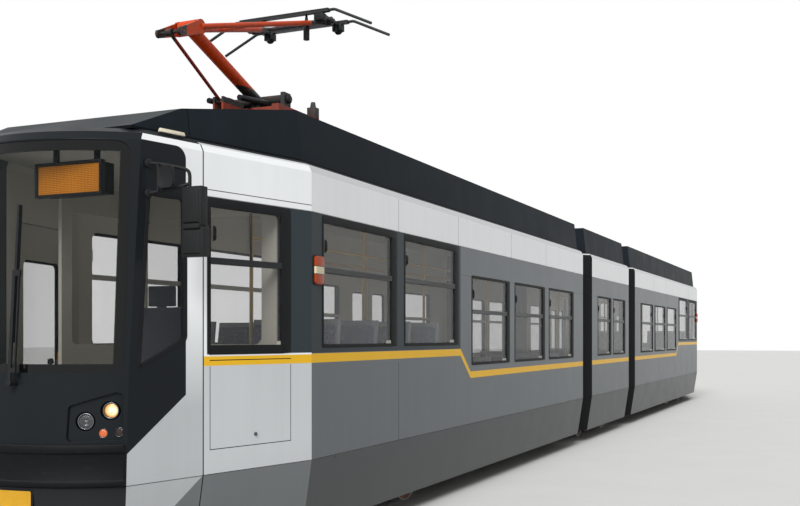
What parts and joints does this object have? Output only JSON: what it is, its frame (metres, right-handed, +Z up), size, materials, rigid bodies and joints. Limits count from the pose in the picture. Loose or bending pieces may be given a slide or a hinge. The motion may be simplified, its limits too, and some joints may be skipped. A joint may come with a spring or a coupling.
{
  "type": "articulated tram",
  "caption": "Articulated low-centre tram in jointed sections on bogies, with hollow cabins, doors, cab, gangways and a roof pantograph.",
  "frame": {"origin": "on the rail plane under the flanges, midway along and across the tram", "axes": "X to the tram's left, Y to its rear, Z up"},
  "size_m": [2.4526, 26.3881, 4.905],
  "materials": {
    "body_paint": "gloss coach paint",
    "mask_paint": "gloss dark mask",
    "roof_paint": "satin roof paint",
    "fairing_paint": "satin dark fairing",
    "window_glass": "clear tinted glass",
    "black_plastic": "moulded black",
    "lamp_lens": "lamp lens",
    "floor_cover": "floor sheet over steel",
    "seat_shell": "seat cover",
    "rail_steel": "brushed tube",
    "cab_plastic": "cab moulding",
    "display_amber": "blank display",
    "bellows_rubber": "folded rubber",
    "frame_steel": "bogie paint",
    "wheel_steel": "bare wheel steel",
    "arm_orange": "orange paint",
    "collector_metal": "dark collector"
  },
  "bodies": {
    "front_car": {"front_left_wall": "body_paint", "front_right_wall": "body_paint", "front_nose": "mask_paint", "front_bumper": "black_plastic", "front_lamps": "lamp_lens", "front_windows": "window_glass", "front_screen": "window_glass", "front_roof": "roof_paint", "front_fairing": "fairing_paint", "front_floor": "floor_cover", "front_seats": "seat_shell", "front_handrails": "rail_steel", "cab_console": "cab_plastic", "driver_seat": "seat_shell", "cab_bulkhead": "cab_plastic", "destination_display": "display_amber", "front_mirrors": "black_plastic", "wiper": "black_plastic", "pantograph_base": "arm_orange", "front_bellows": "bellows_rubber"},
    "middle_car": {"middle_left_wall": "body_paint", "middle_right_wall": "body_paint", "middle_roof": "roof_paint", "middle_fairing": "fairing_paint", "middle_windows": "window_glass", "middle_floor": "floor_cover", "middle_seats": "seat_shell", "trailer_frame": "frame_steel"},
    "rear_car": {"rear_left_wall": "body_paint", "rear_right_wall": "body_paint", "rear_nose": "mask_paint", "rear_bumper": "black_plastic", "rear_lamps": "lamp_lens", "rear_windows": "window_glass", "rear_screen": "window_glass", "rear_roof": "roof_paint", "rear_fairing": "fairing_paint", "rear_floor": "floor_cover", "rear_seats": "seat_shell", "rear_handrails": "rail_steel", "rear_bellows": "bellows_rubber"},
    "front_bogie": {"front_bogie_frame": "frame_steel"},
    "rear_bogie": {"rear_bogie_frame": "frame_steel"},
    "axle_1": {"wheelset_1": "wheel_steel"},
    "axle_2": {"wheelset_2": "wheel_steel"},
    "axle_3": {"wheelset_3": "wheel_steel"},
    "axle_4": {"wheelset_4": "wheel_steel"},
    "axle_5": {"wheelset_5": "wheel_steel"},
    "axle_6": {"wheelset_6": "wheel_steel"},
    "front_door_leaf": {"front_door": "body_paint"},
    "front_double_door_leaf_1": {"front_double_door_front_leaf": "body_paint"},
    "front_double_door_leaf_2": {"front_double_door_rear_leaf": "body_paint"},
    "rear_door_leaf": {"rear_door": "body_paint"},
    "rear_double_door_leaf_1": {"rear_double_door_front_leaf": "body_paint"},
    "rear_double_door_leaf_2": {"rear_double_door_rear_leaf": "body_paint"},
    "lower_arm": {"pantograph_lower_arm": "arm_orange"},
    "upper_arm": {"pantograph_upper_arm": "arm_orange"},
    "coupling_rod": {"pantograph_rod": "arm_orange"},
    "collector_head": {"pantograph_head": "collector_metal"}
  },
  "joints": [
    {"name": "front_articulation", "type": "hinge", "parent": "front_car", "child": "middle_car", "pos_m": [0, -1.835, 0.4], "axis": [0, 0, 1], "range_deg": [-15, 15], "deforming": ["front_bellows"]},
    {"name": "rear_articulation", "type": "hinge", "parent": "middle_car", "child": "rear_car", "pos_m": [0, 1.835, 0.4], "axis": [0, 0, 1], "range_deg": [-15, 15], "deforming": ["rear_bellows"]},
    {"name": "front_bogie_swivel", "type": "hinge", "parent": "front_car", "child": "front_bogie", "pos_m": [0, -9.3, 0.5], "axis": [0, 0, 1], "range_deg": [-10, 10]},
    {"name": "rear_bogie_swivel", "type": "hinge", "parent": "rear_car", "child": "rear_bogie", "pos_m": [0, 9.3, 0.5], "axis": [0, 0, 1], "range_deg": [-10, 10]},
    {"name": "axle_1_spin", "type": "hinge", "parent": "front_bogie", "child": "axle_1", "pos_m": [0, -10.25, 0.365], "axis": [1, 0, 0], "continuous": true},
    {"name": "axle_2_spin", "type": "hinge", "parent": "front_bogie", "child": "axle_2", "pos_m": [0, -8.35, 0.365], "axis": [1, 0, 0], "continuous": true},
    {"name": "axle_3_spin", "type": "hinge", "parent": "middle_car", "child": "axle_3", "pos_m": [0, -0.9, 0.3], "axis": [1, 0, 0], "continuous": true},
    {"name": "axle_4_spin", "type": "hinge", "parent": "middle_car", "child": "axle_4", "pos_m": [0, 0.9, 0.3], "axis": [1, 0, 0], "continuous": true},
    {"name": "axle_5_spin", "type": "hinge", "parent": "rear_bogie", "child": "axle_5", "pos_m": [0, 8.35, 0.365], "axis": [1, 0, 0], "continuous": true},
    {"name": "axle_6_spin", "type": "hinge", "parent": "rear_bogie", "child": "axle_6", "pos_m": [0, 10.25, 0.365], "axis": [1, 0, 0], "continuous": true},
    {"name": "front_door_hinge", "type": "hinge", "parent": "front_car", "child": "front_door_leaf", "pos_m": [-1.1309, -11.29273, 1.5], "axis": [0, 0, -1], "range_deg": [0, 90]},
    {"name": "front_double_door_hinge_1", "type": "hinge", "parent": "front_car", "child": "front_double_door_leaf_1", "pos_m": [-1.1775, -5.7375, 1.5], "axis": [0, 0, 1], "range_deg": [0, 90]},
    {"name": "front_double_door_hinge_2", "type": "hinge", "parent": "front_car", "child": "front_double_door_leaf_2", "pos_m": [-1.1775, -4.4825, 1.5], "axis": [0, 0, -1], "range_deg": [0, 90]},
    {"name": "rear_door_hinge", "type": "hinge", "parent": "rear_car", "child": "rear_door_leaf", "pos_m": [-1.1309, 11.29273, 1.5], "axis": [0, 0, 1], "range_deg": [0, 90]},
    {"name": "rear_double_door_hinge_1", "type": "hinge", "parent": "rear_car", "child": "rear_double_door_leaf_1", "pos_m": [-1.1775, 4.4825, 1.5], "axis": [0, 0, 1], "range_deg": [0, 90]},
    {"name": "rear_double_door_hinge_2", "type": "hinge", "parent": "rear_car", "child": "rear_double_door_leaf_2", "pos_m": [-1.1775, 5.7375, 1.5], "axis": [0, 0, -1], "range_deg": [0, 90]},
    {"name": "pantograph_foot", "type": "hinge", "parent": "front_car", "child": "lower_arm", "pos_m": [0, -9.96, 3.94], "axis": [-1, 0, 0], "range_deg": [-15, 24]},
    {"name": "pantograph_knee", "type": "hinge", "parent": "lower_arm", "child": "upper_arm", "pos_m": [0, -11.04, 4.34], "axis": [1, 0, 0], "range_deg": [-27, 43.2]},
    {"name": "pantograph_head_pivot", "type": "hinge", "parent": "upper_arm", "child": "collector_head", "pos_m": [0, -9.27, 4.85], "axis": [-1, 0, 0], "range_deg": [-12, 19.2]},
    {"name": "pantograph_rod_foot", "type": "hinge", "parent": "front_car", "child": "coupling_rod", "pos_m": [0, -10.58, 3.82], "axis": [-1, 0, 0], "range_deg": [-18, 28.8]}
  ],
  "couplings": [
    {"joint": "pantograph_knee", "follows": "pantograph_foot", "ratio": 1.8},
    {"joint": "pantograph_head_pivot", "follows": "pantograph_foot", "ratio": 0.8},
    {"joint": "pantograph_rod_foot", "follows": "pantograph_foot", "ratio": 1.2}
  ]
}
